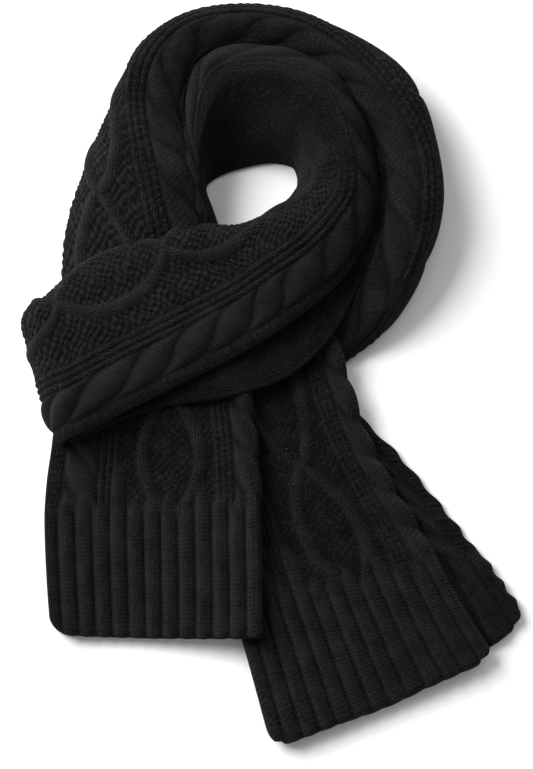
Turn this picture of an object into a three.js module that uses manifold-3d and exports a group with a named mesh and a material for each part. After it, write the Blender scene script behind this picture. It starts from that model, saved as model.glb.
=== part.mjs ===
// A cable-knit scarf, folded in half along its length and tied in a loop with both ends pulled through
// the fold, lying flat. Millimetres, +Z up, resting on z = 0, centred on its own outline.
import * as THREE from "three";
import Module from "manifold-3d";

const wasm = await Module();
wasm.setup();

// ---- driving sizes, mm
const LAYER = 5.5; // one thickness of knit
const DOUBLE = 2 * LAYER; // the scarf folded in half
const FOLDED_WIDTH = 150; // half of the 300 mm flat width
const GAP = 0.45; // clearance between stretches of cloth that touch
const ROPE = { half: 12, rise: 3.4, pitch: 23, lean: 10, at: [0, 121] }; // cables, by distance from the fold
const NARROW_RIBS = { half: 7.5, rise: 1.1, at: [20.5, 101.5] };
const LOZENGE = { at: 61, reach: 22, pitch: 85, half: 6, rise: 1.8 }; // two travelling strands that cross
const ROW = ROPE.pitch / 3; // distance between sections
const END_RIBS = { length: 84, pitch: 12.5, rise: 1.9 };
const CORNER = 9; // rounding of the knitted corners
const SCALLOP = 1.6; // bumps of a free edge, one at each cable crossing
const NOSE_AXIS = 21.5; // height that the loop's fold turns around

// ---- the stretches: one row for each section, x y z of the named points
// e end of the cloth on top, c crest, w widest point of the wall, b edge of the back layer,
// slot distance of e from the fold line (negative past it); l left edge, m middle, r right edge
const INNER = [ // ex ey ez cx cy cz wx wy wz bx by bz
  [-122, -40.2, 38, -141.8, 31.9, 43, -151.4, 52.7, 24, -122.1, -40.6, 31],
  [-76.3, -17.8, 43, -112.3, 54.4, 46, -123.4, 76.1, 26, -72.9, -21.5, 33],
  [-40.3, 0.6, 45, -77.3, 70.5, 48, -85.7, 91.8, 28, -29.3, -15.4, 36],
  [-3, 20.8, 46, -44.1, 79.6, 50, -51.9, 103.2, 28, 11.6, -1.1, 33],
  [23.5, 39.8, 44, -10.9, 78.6, 53, -18, 104.6, 26, 39, 24.5, 30],
  [49, 62.2, 41, 19.5, 85.6, 57, 9.3, 121.1, 16, 58.2, 58.2, 29],
  [66.8, 90.6, 38, 38.7, 100.6, 60, 19.1, 134.9, 8, 69.2, 90.8, 31],
  [75.5, 120.1, 35, 48.7, 117.7, 61, 21.3, 143, 4, 77.3, 121.5, 29],
  [75.2, 148.5, 36, 51.6, 142.4, 61, 20.6, 150.8, 3, 77, 150.8, 30],
  [64.7, 185.6, 38, 43.9, 170.9, 61, 16.4, 156.7, 3, 66.4, 188.8, 32],
  [43.7, 217.6, 39, 24.6, 190.8, 60, 2.4, 159, 3, 45.3, 221.7, 33],
  [1, 235.5, 39, -3, 200.4, 58, -15, 155.2, 3, 1, 239.7, 33],
  [-43.8, 231.4, 38, -30.1, 193.4, 54, -31.1, 149.3, 3, -44.8, 235.7, 32],
  [-61.5, 195.2, 36, -42.3, 166.9, 48, -40.1, 143.4, 3, -63.2, 198.5, 30],
  [-64.4, 150.7, 34, -45.6, 137.2, 43, -41.5, 137.5, 3, -66.1, 153, 28],
  [-62.8, 117.9, 31, -44.2, 113.6, 37, -37.2, 125.3, 4, -64.5, 120.1, 25],
  [-60, 95.7, 27, -40.9, 94.3, 31, -30.8, 106.3, 4, -61.7, 97.7, 21],
];
const OUTER = [ // ex ey ez cx cy cz wx wy wz we
  [20.2, 62.9, 9, 35, 37.1, 10, 43, 7.2, 6, -38],
  [36.6, 76.3, 12, 67.6, 37.3, 24, 75.7, 30.7, 10, -36],
  [47.6, 94.7, 15, 88.7, 58.5, 35, 96.9, 58.6, 14, -36],
  [57.2, 110.2, 18, 102.7, 85.7, 42, 111.6, 91.5, 18, -34],
  [64.1, 126.6, 21, 108.3, 114.7, 46, 118.3, 123.3, 20, -32],
  [65.7, 150.6, 23, 105, 148.9, 46, 115, 160.5, 20, -30],
  [59, 176.2, 25, 95.4, 178.9, 47, 106.7, 196.4, 21, -27],
  [48, 199.3, 30, 78, 203.3, 48, 90.3, 220.2, 23, -20],
  [31.4, 217.9, 35, 50.3, 226.9, 48, 57, 243.9, 24, -14],
  [10.7, 228.4, 38, 17.5, 241.7, 48, 20.7, 261.9, 26, -10],
  [-14.8, 230.5, 40, -16.1, 246.2, 48, -17.9, 265.7, 26, -8],
  [-38.9, 224.1, 41, -50.4, 237.2, 48, -58.5, 257.4, 26, -8],
  [-52.4, 205.2, 42, -76.2, 220.9, 48, -87.7, 234.8, 24, -8],
  [-55.6, 181, 42, -92.1, 195.5, 49, -101.3, 202.8, 20, -10],
  [-55.3, 153.4, 42, -89.2, 150.3, 50, -119, 166.5, 16, -10],
  [-53.6, 125, 41, -82, 115, 49, -131.5, 133.5, 14, -9],
  [-50.1, 100.5, 38, -76.6, 91.4, 44, -136.9, 104.4, 14, -8],
  [-44.7, 79.2, 34, -74, 71.2, 37, -138.3, 77.1, 14, -8],
  [-37.9, 55.9, 32, -76.7, 56.3, 33, -139, 55, 14, -8],
];
const LEFT = [ // lx ly lz mx my mz rx ry rz
  [-137.9, 50.2, 23, -85, 50.1, 28, -36.5, 53.4, 31],
  [-138.2, 11.2, 23, -80.4, 12.2, 27, -23, 16.2, 30],
  [-138.9, -22.5, 20, -77.3, -22.3, 25, -15.6, -16.3, 28.5],
  [-140.7, -45.5, 16, -75.9, -45.7, 20, -11.6, -41.8, 27],
  [-143.8, -69.7, 12, -75.9, -70.1, 14, -9.5, -69.8, 26],
  [-144.5, -95.1, 11, -75.7, -95.9, 11.5, -8.2, -97.6, 25.5],
  [-142.2, -131.7, 11, -74.5, -133, 11, -7.5, -133.7, 25.5],
  [-138.4, -171.6, 11, -73.2, -174.1, 11, -7.4, -176.3, 25.5],
];
const RIGHT_FRONT = [ // lx ly lz mx my mz rx ry rz
  [-83.7, 17.6, 19.5, -20.5, 28.8, 19.5, 37.5, 45.6, 19.5],
  [-67, -23.5, 18.5, -8.3, -15.4, 19, 51.9, -1.6, 19],
  [-53.6, -48.8, 15.5, 2.3, -43.4, 16, 61, -32.9, 17.5],
  [-40.1, -82, 12.5, 19.5, -78.1, 13.5, 77.8, -69.2, 16],
  [-29.3, -121.8, 11.5, 35.2, -116.6, 12, 99.1, -104.4, 14.5],
  [-15.9, -174.2, 11.5, 51.8, -169, 11.5, 123.7, -151, 13],
  [1, -240.7, 11.5, 70.5, -224.2, 11.5, 143.8, -184.6, 12],
];
const RIGHT_BACK = [ // lx ly lz mx my mz rx ry rz
  [-78.6, 16.5, 13.5, -17.9, 27.7, 13.5, 40.4, 44.6, 13.5],
  [-63.4, -22.1, 12.5, -3, -13.8, 12.5, 56.1, -15.1, 12],
  [-47.1, -60.6, 7, 15.7, -54, 8, 89.3, -52.4, 7],
  [-24.1, -127.6, 5.5, 50, -114.3, 5.5, 129.7, -103.6, 5.5],
  [3.6, -230.2, 5.5, 81.4, -212.3, 5.5, 167.6, -159.2, 5.5],
];

// ---- curves and sections
const at = (row, k) => new THREE.Vector3(row[3 * k], row[3 * k + 1], row[3 * k + 2]);
const flatOf = (v) => new THREE.Vector3(v.x, v.y, 0);

/** A row of the table at a real position t, smooth through all the rows. */
function rowAt(table, t) {
  const last = table.length - 1;
  const i = Math.min(Math.floor(t), last - 1);
  const f = t - i;
  const pick = (j) => table[Math.min(Math.max(j, 0), last)];
  return table[0].map((_, k) => {
    const p1 = pick(i)[k];
    const p2 = pick(i + 1)[k];
    const p0 = i > 0 ? pick(i - 1)[k] : 2 * p1 - p2;
    const p3 = i + 2 <= last ? pick(i + 2)[k] : 2 * p2 - p1;
    return 0.5 * (2 * p1 + (p2 - p0) * f + (2 * p0 - 5 * p1 + 4 * p2 - p3) * f * f + (3 * p1 - p0 - 3 * p2 + p3) * f * f * f);
  });
}

/** Table positions with their distance along the middle column. */
function measure(table) {
  const marks = [{ t: 0, s: 0 }];
  const step = 1 / 16;
  for (let t = step; t <= table.length - 1 + 1e-9; t += step) {
    const d = at(rowAt(table, t), 1).distanceTo(at(rowAt(table, t - step), 1));
    marks.push({ t, s: marks[marks.length - 1].s + d });
  }
  return marks;
}

function positionAt(marks, s) {
  const k = Math.max(1, marks.findIndex((m) => m.s >= s - 1e-9));
  const a = marks[k - 1];
  const b = marks[k] || a;
  return b.s > a.s ? a.t + ((b.t - a.t) * (s - a.s)) / (b.s - a.s) : b.t;
}

const bend = (a, b, c, count) =>
  Array.from({ length: count }, (_, i) => {
    const t = i / (count - 1);
    return a.clone().multiplyScalar((1 - t) * (1 - t)).addScaledVector(b, 2 * t * (1 - t)).addScaledVector(c, t * t);
  });

function spread(points, count) {
  const s = [0];
  for (let i = 1; i < points.length; i++) s.push(s[i - 1] + points[i].distanceTo(points[i - 1]));
  const out = [];
  for (let k = 0; k < count; k++) {
    const d = (s[s.length - 1] * k) / (count - 1);
    let i = 1;
    while (i < points.length - 1 && s[i] < d) i++;
    out.push(points[i - 1].clone().lerp(points[i], (d - s[i - 1]) / (s[i] - s[i - 1] || 1)));
  }
  return out;
}

/** Over the crest and down the wall, from the free end to the foot on the table. */
function archLine(row, count) {
  const [e, c, w] = [0, 1, 2].map((k) => at(row, k));
  const inward = flatOf(e.clone().sub(c));
  const outward = flatOf(w.clone().sub(c));
  const top = bend(e, c.clone().addScaledVector(inward, 0.55), c, 12);
  const wall = bend(c, c.clone().addScaledVector(outward, 0.85), w, 12);
  const line = spread([...top, ...wall.slice(1)], count);
  const foot = flatOf(w).addScaledVector(outward.normalize(), -Math.min(0.8 * w.z, 16));
  return [...line, ...bend(w, flatOf(w), foot, 3).slice(1)];
}

const across = (row, t) =>
  at(row, 0).multiplyScalar(2 * t * t - 3 * t + 1).addScaledVector(at(row, 1), 4 * t - 4 * t * t).addScaledVector(at(row, 2), 2 * t * t - t);

// ---- the raised pattern, by distance w from the fold and s along the stretch
const hump = (x, half) => Math.max(0, 1 - (x / half) * (x / half));

function pattern(w, s) {
  const a = Math.abs(w);
  let h = 0;
  for (const centre of ROPE.at) {
    const x = centre === 0 ? w : a - centre;
    const lobe = Math.abs(Math.cos((Math.PI * (s + (x / ROPE.half) * ROPE.lean)) / ROPE.pitch));
    h += ROPE.rise * hump(x, ROPE.half) * (0.45 + 0.55 * lobe);
  }
  for (const centre of NARROW_RIBS.at) h += NARROW_RIBS.rise * hump(a - centre, NARROW_RIBS.half);
  const phase = (((s / LOZENGE.pitch) % 1) + 1) % 1;
  const swing = LOZENGE.reach * (4 * Math.abs(phase - 0.5) - 1);
  for (const side of [1, -1]) h = Math.max(h, LOZENGE.rise * hump(a - LOZENGE.at - side * swing, LOZENGE.half));
  return h;
}

const endRib = (w) => END_RIBS.rise * Math.min(1, 1.9 * Math.abs(Math.cos((Math.PI * w) / END_RIBS.pitch)));

/** Lifts each point of a grid of rows off the cloth by its own height, to the side that faces up. */
function raise(grid, heights) {
  const normals = grid.map((line, i) =>
    line.map((p, j) => {
      const u = (line[j + 1] || p).clone().sub(line[j - 1] || p);
      const v = (grid[i + 1] || line)[j].clone().sub((grid[i - 1] || line)[j]);
      return u.cross(v).normalize();
    })
  );
  const side = Math.sign(normals.reduce((sum, line) => sum + line[Math.floor(line.length / 3)].z, 0));
  return grid.map((line, i) => line.map((p, j) => p.clone().addScaledVector(normals[i][j], side * heights[i][j])));
}

// ---- solids
/** Triangles over one ring, in its own order, with every point kept: the ears are cut one by one. */
function capOf(ring) {
  const reach = (p) => flatOf(p.clone().sub(ring[0])).length();
  const far = ring.reduce((best, p) => (reach(p) > reach(best) ? p : best), ring[1]);
  const lateral = flatOf(far.clone().sub(ring[0])).normalize();
  const outline = ring.map((p) => new THREE.Vector2(p.dot(lateral), p.z));
  const turn = Math.sign(THREE.ShapeUtils.area(outline));
  const area = (a, b, c) => turn * THREE.ShapeUtils.area([a, b, c].map((k) => outline[k]));
  const left = ring.map((_, k) => k);
  const faces = [];
  while (left.length > 3) {
    let best = -1;
    let bestScore = -Infinity;
    for (let k = 0; k < left.length; k++) {
      const [a, b, c] = [left[(k + left.length - 1) % left.length], left[k], left[(k + 1) % left.length]];
      const size = area(a, b, c);
      if (size < 1e-7) continue;
      const blocked = left.some((d) => d !== a && d !== b && d !== c && area(a, b, d) >= 0 && area(b, c, d) >= 0 && area(c, a, d) >= 0);
      const score = -outline[a].distanceTo(outline[c]);
      if (!blocked && score > bestScore) [best, bestScore] = [k, score];
    }
    const k = best < 0 ? 0 : best;
    faces.push([left[(k + left.length - 1) % left.length], left[k], left[(k + 1) % left.length]]);
    left.splice(k, 1);
  }
  return [...faces, left];
}

/** A closed solid through rings of the same number of points, with flat ends. */
function loft(rings) {
  const count = rings[0].length;
  const positions = rings.flatMap((ring) => ring.flatMap((p) => [p.x, p.y, p.z]));
  const index = [];
  for (let i = 0; i + 1 < rings.length; i++)
    for (let j = 0; j < count; j++) {
      const [a, b] = [i * count + j, i * count + ((j + 1) % count)];
      const [c, d] = [a + count, b + count];
      if (rings[i][j].distanceTo(rings[i + 1][(j + 1) % count]) < rings[i][(j + 1) % count].distanceTo(rings[i + 1][j])) index.push(a, b, d, a, d, c);
      else index.push(a, b, c, b, d, c);
    }
  const first = rings[0];
  const last = rings[rings.length - 1];
  for (const [ring, base, turn] of [[first, 0, true], [last, (rings.length - 1) * count, false]])
    for (const [p, q, r] of capOf(ring)) index.push(base + p, ...(turn ? [base + r, base + q] : [base + q, base + r]));
  const geometry = new THREE.BufferGeometry();
  geometry.setAttribute("position", new THREE.Float32BufferAttribute(positions, 3));
  geometry.setIndex(index);
  return geometry;
}

const meshOf = (geometry) =>
  new wasm.Mesh({ numProp: 3, vertProperties: geometry.attributes.position.array, triVerts: Uint32Array.from(geometry.index.array) });

/** A solid from a closed surface, turned facing out if its rings ran the other way. */
function solidOf(geometry) {
  let solid = new wasm.Manifold(meshOf(geometry));
  if (solid.volume() < 0) {
    const index = geometry.index.array;
    for (let i = 0; i < index.length; i += 3) [index[i + 1], index[i + 2]] = [index[i + 2], index[i + 1]];
    solid = new wasm.Manifold(meshOf(geometry));
  }
  return solid;
}

function geometryOf(solid) {
  const mesh = solid.getMesh();
  const positions = new Float32Array(mesh.numVert * 3);
  for (let i = 0; i < mesh.numVert; i++) for (let k = 0; k < 3; k++) positions[3 * i + k] = mesh.vertProperties[mesh.numProp * i + k];
  const geometry = new THREE.BufferGeometry();
  geometry.setAttribute("position", new THREE.BufferAttribute(positions, 3));
  geometry.setIndex([...mesh.triVerts]);
  return geometry;
}

/** The same solid with every face moved out by a clearance, to cut its neighbours with. */
function swollen(solid, by) {
  const geometry = geometryOf(solid);
  const { position } = geometry.attributes;
  const corner = (k) => new THREE.Vector3().fromBufferAttribute(position, k);
  const faces = Array.from({ length: position.count }, () => []);
  const index = geometry.index.array;
  for (let i = 0; i < index.length; i += 3) {
    const ids = [index[i], index[i + 1], index[i + 2]];
    const points = ids.map(corner);
    const normal = points[1].clone().sub(points[0]).cross(points[2].clone().sub(points[0]));
    if (normal.length() < 1e-6) continue;
    normal.normalize();
    ids.forEach((id, k) => {
      const angle = points[(k + 1) % 3].clone().sub(points[k]).angleTo(points[(k + 2) % 3].clone().sub(points[k]));
      faces[id].push({ normal, angle });
    });
  }
  for (let i = 0; i < position.count; i++) {
    const way = faces[i].reduce((sum, f) => sum.addScaledVector(f.normal, f.angle), new THREE.Vector3()).normalize();
    const least = Math.min(1, ...faces[i].map((f) => f.normal.dot(way)));
    const p = corner(i).addScaledVector(way, by / Math.max(least, 0.35));
    position.setXYZ(i, p.x, p.y, p.z);
  }
  return new wasm.Manifold(meshOf(geometry));
}

const largest = (solid) => solid.decompose().reduce((a, b) => (b.volume() > a.volume() ? b : a));
const without = (solid, ...others) => largest(others.reduce((left, other) => left.subtract(swollen(other, GAP)), solid));

// ---- the two turns: the hidden layers below the top one are one rounded solid
const ARCH_POINTS = 15;

function archRings(table, from, to, pitch, wOf, close, hidden = -1) {
  const marks = measure(table);
  const s0 = marks.find((m) => m.t >= from - 1e-9).s;
  const s1 = marks.find((m) => m.t >= to - 1e-9).s;
  const count = Math.max(2, Math.round((s1 - s0) / pitch));
  const stations = Array.from({ length: count + 1 }, (_, i) => s0 + ((s1 - s0) * i) / count);
  const rows = stations.map((s) => rowAt(table, positionAt(marks, s)));
  const grid = rows.map((row) => archLine(row, ARCH_POINTS));
  const heights = grid.map((line, i) => {
    let run = 0;
    return line.map((p, j) => {
      if (j) run += p.distanceTo(line[j - 1]);
      return j < ARCH_POINTS - 1 && j > 0 && stations[i] > hidden ? pattern(wOf(rows[i], run), stations[i]) : 0;
    });
  });
  return raise(grid, heights).map((line, i) => [...line, ...close(rows[i], line[line.length - 1])]);
}

/** Inner turn: both free edges show at e, the back layer slipped out to b. */
function closeInner(row, foot) {
  const [e, c, , b] = [0, 1, 2, 3].map((k) => at(row, k));
  const out = flatOf(e.clone().sub(c)).normalize();
  const under = flatOf(b);
  const middle = foot.clone().lerp(under, 0.5);
  return [
    middle,
    under,
    b.clone().setZ(b.z - LAYER),
    b,
    e.clone().lerp(b, 0.2).setZ(Math.max(b.z + 0.2, e.z - 6)),
    e.clone().addScaledVector(out, -2.6).setZ(e.z - LAYER + 0.4),
    e.clone().addScaledVector(out, -0.6).setZ(e.z - LAYER + 1.4),
  ];
}

/** Outer turn: the rounded fold at e, or the cloth's hidden run under the inner turn. */
function closeOuter(row, foot) {
  const [e, c] = [0, 1].map((k) => at(row, k));
  const out = flatOf(e.clone().sub(c)).normalize();
  const depth = Math.min(DOUBLE, 0.8 * e.z);
  const under = flatOf(e).addScaledVector(out, -1);
  return [
    foot.clone().lerp(under, 0.5),
    under,
    e.clone().setZ(e.z - depth),
    e.clone().addScaledVector(out, 2.6).setZ(e.z - 0.75 * depth),
    e.clone().addScaledVector(out, 2.6).setZ(e.z - 0.25 * depth),
  ];
}

/** The loop's own fold: the first section turned about a level axis, half a turn. */
function nose(ring, ahead) {
  const lateral = flatOf(ring[ARCH_POINTS - 1].clone().sub(ring[0])).normalize();
  const out = new THREE.Vector3(lateral.y, -lateral.x, 0);
  if (out.dot(ahead) > 0) out.negate();
  return [84, 62, 40, 20].map((degrees) => {
    const turn = THREE.MathUtils.degToRad(degrees);
    return ring.map((p) => {
      const r = p.z - NOSE_AXIS;
      return p.clone().addScaledVector(out, Math.abs(r) * Math.sin(turn)).setZ(NOSE_AXIS + r * Math.cos(turn));
    });
  });
}

// ---- the ends: thin slabs with the ribbed hem, flat where they lie on the table
function slabRings(table, { thickness, points, fold, free, wOf, hidden, covered, scallop = 0 }) {
  const marks = measure(table);
  const length = marks[marks.length - 1].s;
  const hem = length - END_RIBS.length;
  const stations = [];
  for (let s = 0; s < hidden; s += 26) stations.push(s);
  for (let s = hidden; s < hem - 4; s += ROW) stations.push(s);
  stations.push(hem - 1, hem + 3, hem + 40, length - CORNER, length - 0.4 * CORNER, length);
  const rows = stations.map((s) => rowAt(table, positionAt(marks, s)));
  const grid = rows.map((row, i) => {
    const left = length - stations[i];
    const inset = left < CORNER ? CORNER - Math.sqrt(CORNER ** 2 - (CORNER - left) ** 2) : 0;
    const width = at(row, 0).distanceTo(at(row, 2));
    const bump = scallop * Math.cos((2 * Math.PI * stations[i]) / ROPE.pitch);
    const [t0, t1] = [(inset * 0.9) / width, 1 - (inset * 0.9 + (stations[i] > hidden ? bump + scallop : 0)) / width];
    return Array.from({ length: points }, (_, j) => across(row, t0 + ((t1 - t0) * j) / (points - 1)));
  });
  const heights = grid.map((line, i) =>
    line.map((_, j) => {
      const t = j / (points - 1);
      const w = wOf(t);
      if (t < covered) return 0;
      if (stations[i] >= hem + 3) return endRib(w);
      return stations[i] < hidden || j === 0 || j === points - 1 ? 0 : pattern(w, stations[i]);
    })
  );
  const lifted = raise(grid, heights);
  return lifted.map((line, i) => {
    const base = grid[i];
    const side = flatOf(base[points - 1].clone().sub(base[0])).normalize();
    const below = (p, share) => Math.max(0, p.z - thickness) + (p.z - Math.max(0, p.z - thickness)) * share;
    const edge = (p, way, steps) => steps.map(([out, share]) => p.clone().addScaledVector(side, way * out).setZ(below(p, share)));
    const [l, r] = [base[0], base[points - 1]];
    const underside = [0.9, 0.65, 0.35, 0.1].map((t) => {
      const p = base[Math.round(t * (points - 1))];
      return p.clone().setZ(below(p, 0));
    });
    return [...line, ...edge(r, 1, fold), ...underside, ...edge(l, -1, free)];
  });
}

const ROUND = [[2.2, 0.75], [2.2, 0.3], [0, 0]];
const ROUND_BACK = [[0, 0], [2.2, 0.3], [2.2, 0.75]];
const LAYERED_BACK = [[0, 0], [2, 0.12], [2, 0.4], [0.4, 0.5], [2, 0.6], [2, 0.88]];

const rightBack = solidOf(loft(slabRings(RIGHT_BACK, { thickness: LAYER, points: 25, fold: ROUND, free: ROUND_BACK, wOf: (t) => FOLDED_WIDTH * t, hidden: 78, covered: 0.7, scallop: SCALLOP })));
const rightFront = solidOf(loft(slabRings(RIGHT_FRONT, { thickness: LAYER, points: 25, fold: ROUND, free: ROUND_BACK, wOf: (t) => FOLDED_WIDTH * (1 - t), hidden: 52, covered: 0.14 })));
const left = solidOf(loft(slabRings(LEFT, { thickness: DOUBLE, points: 25, fold: ROUND, free: LAYERED_BACK, wOf: (t) => FOLDED_WIDTH * (1 - t), hidden: 78, covered: -1 })));

const outer = solidOf(loft(archRings(OUTER, 0, OUTER.length - 1, ROW, (row, run) => row[9] + run, closeOuter, 40)));

const innerW = (row, run) => FOLDED_WIDTH - run;
const SPLIT = 12; // the row where the cloth starts to run down under the outer turn and the band
const band = archRings(INNER, 0, SPLIT, ROW, innerW, closeInner);
const ahead = at(INNER[1], 1).sub(at(INNER[0], 1));
const innerFirst = solidOf(loft([...nose(band[0], ahead), ...band]));
const innerLast = solidOf(loft(archRings(INNER, SPLIT, INNER.length - 1, ROW, innerW, closeInner)));

// ---- lower stretches shape the ones that lie on them
const rightTailBack = rightBack;
const rightTailFront = without(rightFront, rightBack);
const leftTail = without(left, rightBack, rightFront);
const outerTurn = without(outer, rightBack, rightFront, left);
const innerTurn = without(innerFirst, rightBack, rightFront, left, outer);
const innerTurnEnd = without(innerLast, rightBack, rightFront, left, outer, innerFirst);

const scarf = new THREE.Group();
const nodes = {
  inner_turn: [innerTurn, 0x211f22],
  inner_turn_end: [innerTurnEnd, 0x201e21],
  outer_turn: [outerTurn, 0x1f1d20],
  left_tail: [leftTail, 0x232124],
  right_tail_front: [rightTailFront, 0x222023],
  right_tail_back: [rightTailBack, 0x1d1b1e],
};
const box = new THREE.Box3();
const geometries = Object.values(nodes).map(([solid]) => {
  const geometry = geometryOf(solid);
  geometry.computeBoundingBox();
  box.union(geometry.boundingBox);
  return geometry;
});
const centre = box.getCenter(new THREE.Vector3());
Object.entries(nodes).forEach(([name, [, color]], k) => {
  geometries[k].translate(-centre.x, -centre.y, -box.min.z);
  const mesh = new THREE.Mesh(geometries[k], new THREE.MeshStandardMaterial({ color, roughness: 0.95, metalness: 0 }));
  mesh.name = name;
  scarf.add(mesh);
});

export default scarf;
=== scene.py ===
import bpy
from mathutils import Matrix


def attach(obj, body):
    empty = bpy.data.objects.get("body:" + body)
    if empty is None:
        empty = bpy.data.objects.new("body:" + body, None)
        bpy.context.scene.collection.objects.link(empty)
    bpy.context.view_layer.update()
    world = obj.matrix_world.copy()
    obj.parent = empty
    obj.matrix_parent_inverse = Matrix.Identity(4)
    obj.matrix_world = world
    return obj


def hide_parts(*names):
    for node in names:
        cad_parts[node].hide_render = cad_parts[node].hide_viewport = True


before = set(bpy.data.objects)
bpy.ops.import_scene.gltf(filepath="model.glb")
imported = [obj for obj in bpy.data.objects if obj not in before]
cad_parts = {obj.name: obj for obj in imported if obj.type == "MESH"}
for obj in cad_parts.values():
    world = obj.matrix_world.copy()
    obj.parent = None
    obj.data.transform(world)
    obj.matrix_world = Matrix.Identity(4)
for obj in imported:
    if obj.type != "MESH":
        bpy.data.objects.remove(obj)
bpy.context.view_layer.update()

import math

import bpy
import numpy as np

# ---- Right tail, back layer ----
# One layer of the knitted scarf, which has slipped out from under the front layer and lies on the table
# like an open fan. Thick soft wool yarn, with cables, a moss-stitch panel with crossing strands, and a
# ribbed end. All the lengths below are millimetres, along the cloth or from its fold line.
LAYER = 5.2  # one thickness of knit
HALF_WIDTH = 150.0  # the scarf is 300 wide, folded in half
STITCH_WIDE, STITCH_TALL = 3.4, 2.7
STEP = 1.25  # between the points of the modelled cloth
COLUMNS = 121  # points across one layer of a tail
HEM_CORNER = 9.0  # radius of the rounded corners of a hem
LOOSE = 0.00002  # metres: points closer than this are one
TABLE_SHIFT = np.array([0.268, -12.519, 0.0])  # the tables' origin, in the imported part

CABLE_PITCH = 28.0
STRAND_MIDDLE, STRAND_SWING = 60.0, 22.0
RIB_LENGTH, RIB_PITCH = 84.0, 12.5

RIGHT_BACK = (  # left x y z, middle x y z, right x y z, from the knot to the hem
    (-78.6, 16.5, 13.5, -17.9, 27.7, 13.5, 40.4, 44.6, 13.5),
    (-63.4, -22.1, 12.5, -3, -13.8, 12.5, 56.1, -15.1, 12),
    (-47.1, -60.6, 7, 15.7, -54, 8, 89.3, -52.4, 7),
    (-24.1, -127.6, 5.5, 50, -114.3, 5.5, 129.7, -103.6, 5.5),
    (3.6, -230.2, 5.5, 81.4, -212.3, 5.5, 167.6, -159.2, 5.5),
)


def lengths(points):
    """Distance along a line of points, from its first one."""
    return np.concatenate([[0.0], np.cumsum(np.linalg.norm(np.diff(points, axis=0), axis=1))])


def rows_along(table, step=STEP):
    """The table's rows as smooth rows at even distances along the cloth, and those distances."""
    p = np.array(table, float)
    p = np.vstack([2 * p[0] - p[1], p, 2 * p[-1] - p[-2]])
    t = (np.arange(32) / 32)[:, None]
    smooth = [
        0.5 * (2 * b + (c - a) * t + (2 * a - 5 * b + 4 * c - d) * t**2 + (3 * b - a - 3 * c + d) * t**3)
        for a, b, c, d in zip(p, p[1:], p[2:], p[3:])
    ]
    smooth = np.vstack([*smooth, p[-2:-1]])
    s = lengths(smooth[:, 3:6])
    even = np.linspace(0, s[-1], int(round(s[-1] / step)) + 1)
    return np.stack([np.interp(even, s, column) for column in smooth.T], 1), even


def hump(x, half):
    return np.clip(1 - (x / half) ** 2, 0, None)


def ease(x, low, high):
    t = np.clip((x - low) / (high - low), 0, 1)
    return t * t * (3 - 2 * t)


def knit(w, s, turn, crossing, apart=80.0, ropes=0.0, hem=1e9, moss_height=1.0):
    """Height of the knitted relief, and the stitch coordinates u, v with the share of moss stitch.
    w is the signed distance from the fold line and s the distance along; turn says which way cables lean,
    crossing where two strands cross, apart how far it is to their next crossing, ropes where one lobe of a
    rope lies, hem where the end ribs start."""
    a = np.abs(w)
    wide = w + 0.9 * np.sin(s / 6.1 + 2.1 * np.sin(w / 9.7)) + 0.8 * np.sin(w / 2.3 + s / 3.9)
    tall = s + 0.9 * np.sin(w / 5.3 + 1.9 * np.sin(s / 11.3)) + 0.7 * np.sin(s / 2.1 - w / 4.3)
    h = np.zeros_like(w)
    u, v = wide / STITCH_WIDE, tall / STITCH_TALL
    for near, x, lean in ((a < 60, w, turn + 0 * w), (a >= 60, a - 127.5, turn * np.sign(w))):
        skew = lean * (0.7 * x + 0.004 * x**3)
        ds = s + 2.2 * np.sin(s / 19 + 1) + 0.8 * np.sin(s / 7.3) - ropes - skew
        ds -= np.round(ds / CABLE_PITCH) * CABLE_PITCH
        across = np.where(near, hump(x, 12.6), 0)
        h = np.maximum(h, across**0.6 * (0.2 + 4.7 * hump(ds, CABLE_PITCH / 2) ** 1.05))
        u = np.where(across > 0, (0.85 * x - 0.5 * lean * ds) / STITCH_WIDE, u)
        v = np.where(across > 0, (0.85 * (ds + skew) + 0.5 * lean * x) / STITCH_TALL, v)
    for centre in (20.5, 107.5):
        for k in (-4.8, 0, 4.8):
            beads = 0.78 + 0.22 * np.cos(tall * 1.4 + k)
            h = np.maximum(h, 2.3 * beads * hump(a - centre - k, 2.3) ** 0.7)
    phase = np.cos(np.pi * (s - crossing + apart / 2) / apart)
    swing = STRAND_SWING * np.sign(phase) * np.abs(phase) ** 0.7
    strand = np.maximum(hump(a - STRAND_MIDDLE - swing, 5.6), hump(a - STRAND_MIDDLE + swing, 5.6))
    panel = ease(a, 27, 29) * (1 - ease(a, 99, 101))
    moss = panel * (1 - ease(strand, 0, 0.25)) * moss_height
    seeds = 0.5 + 0.5 * np.cos(np.pi * wide / STITCH_WIDE) * np.cos(np.pi * tall / STITCH_TALL)
    h = np.maximum(h, (1.6 + 1.6 * moss_height) * strand**0.6) + moss * (0.1 + 1.7 * seeds**1.4)
    h = np.maximum(h, 1.7 * (0.6 + 0.4 * np.cos(tall * 1.4)) * hump(a - 145.6, 4.6) ** 0.6)
    top = np.abs(np.cos(np.pi * a / RIB_PITCH))
    rib = np.round(a / RIB_PITCH)
    # an end rib that goes on from the narrow ribs beside a cable starts earlier
    early = 20 * (rib == 8) + 7 * (rib == 3) + 3.4 * np.cos(rib * 2.4)
    ribbed = ease(s - hem - 6 * (1 - top) + early, -9, 5)
    h = h * (1 - ribbed) + 3.6 * top**0.75 * ribbed
    moss = moss * (1 - ribbed)
    u = np.where(ribbed > 0.5, 4 * w / RIB_PITCH + 0.5, u)
    v = np.where(ribbed > 0.5, s / STITCH_TALL, v)
    return h, u, v, moss


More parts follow.
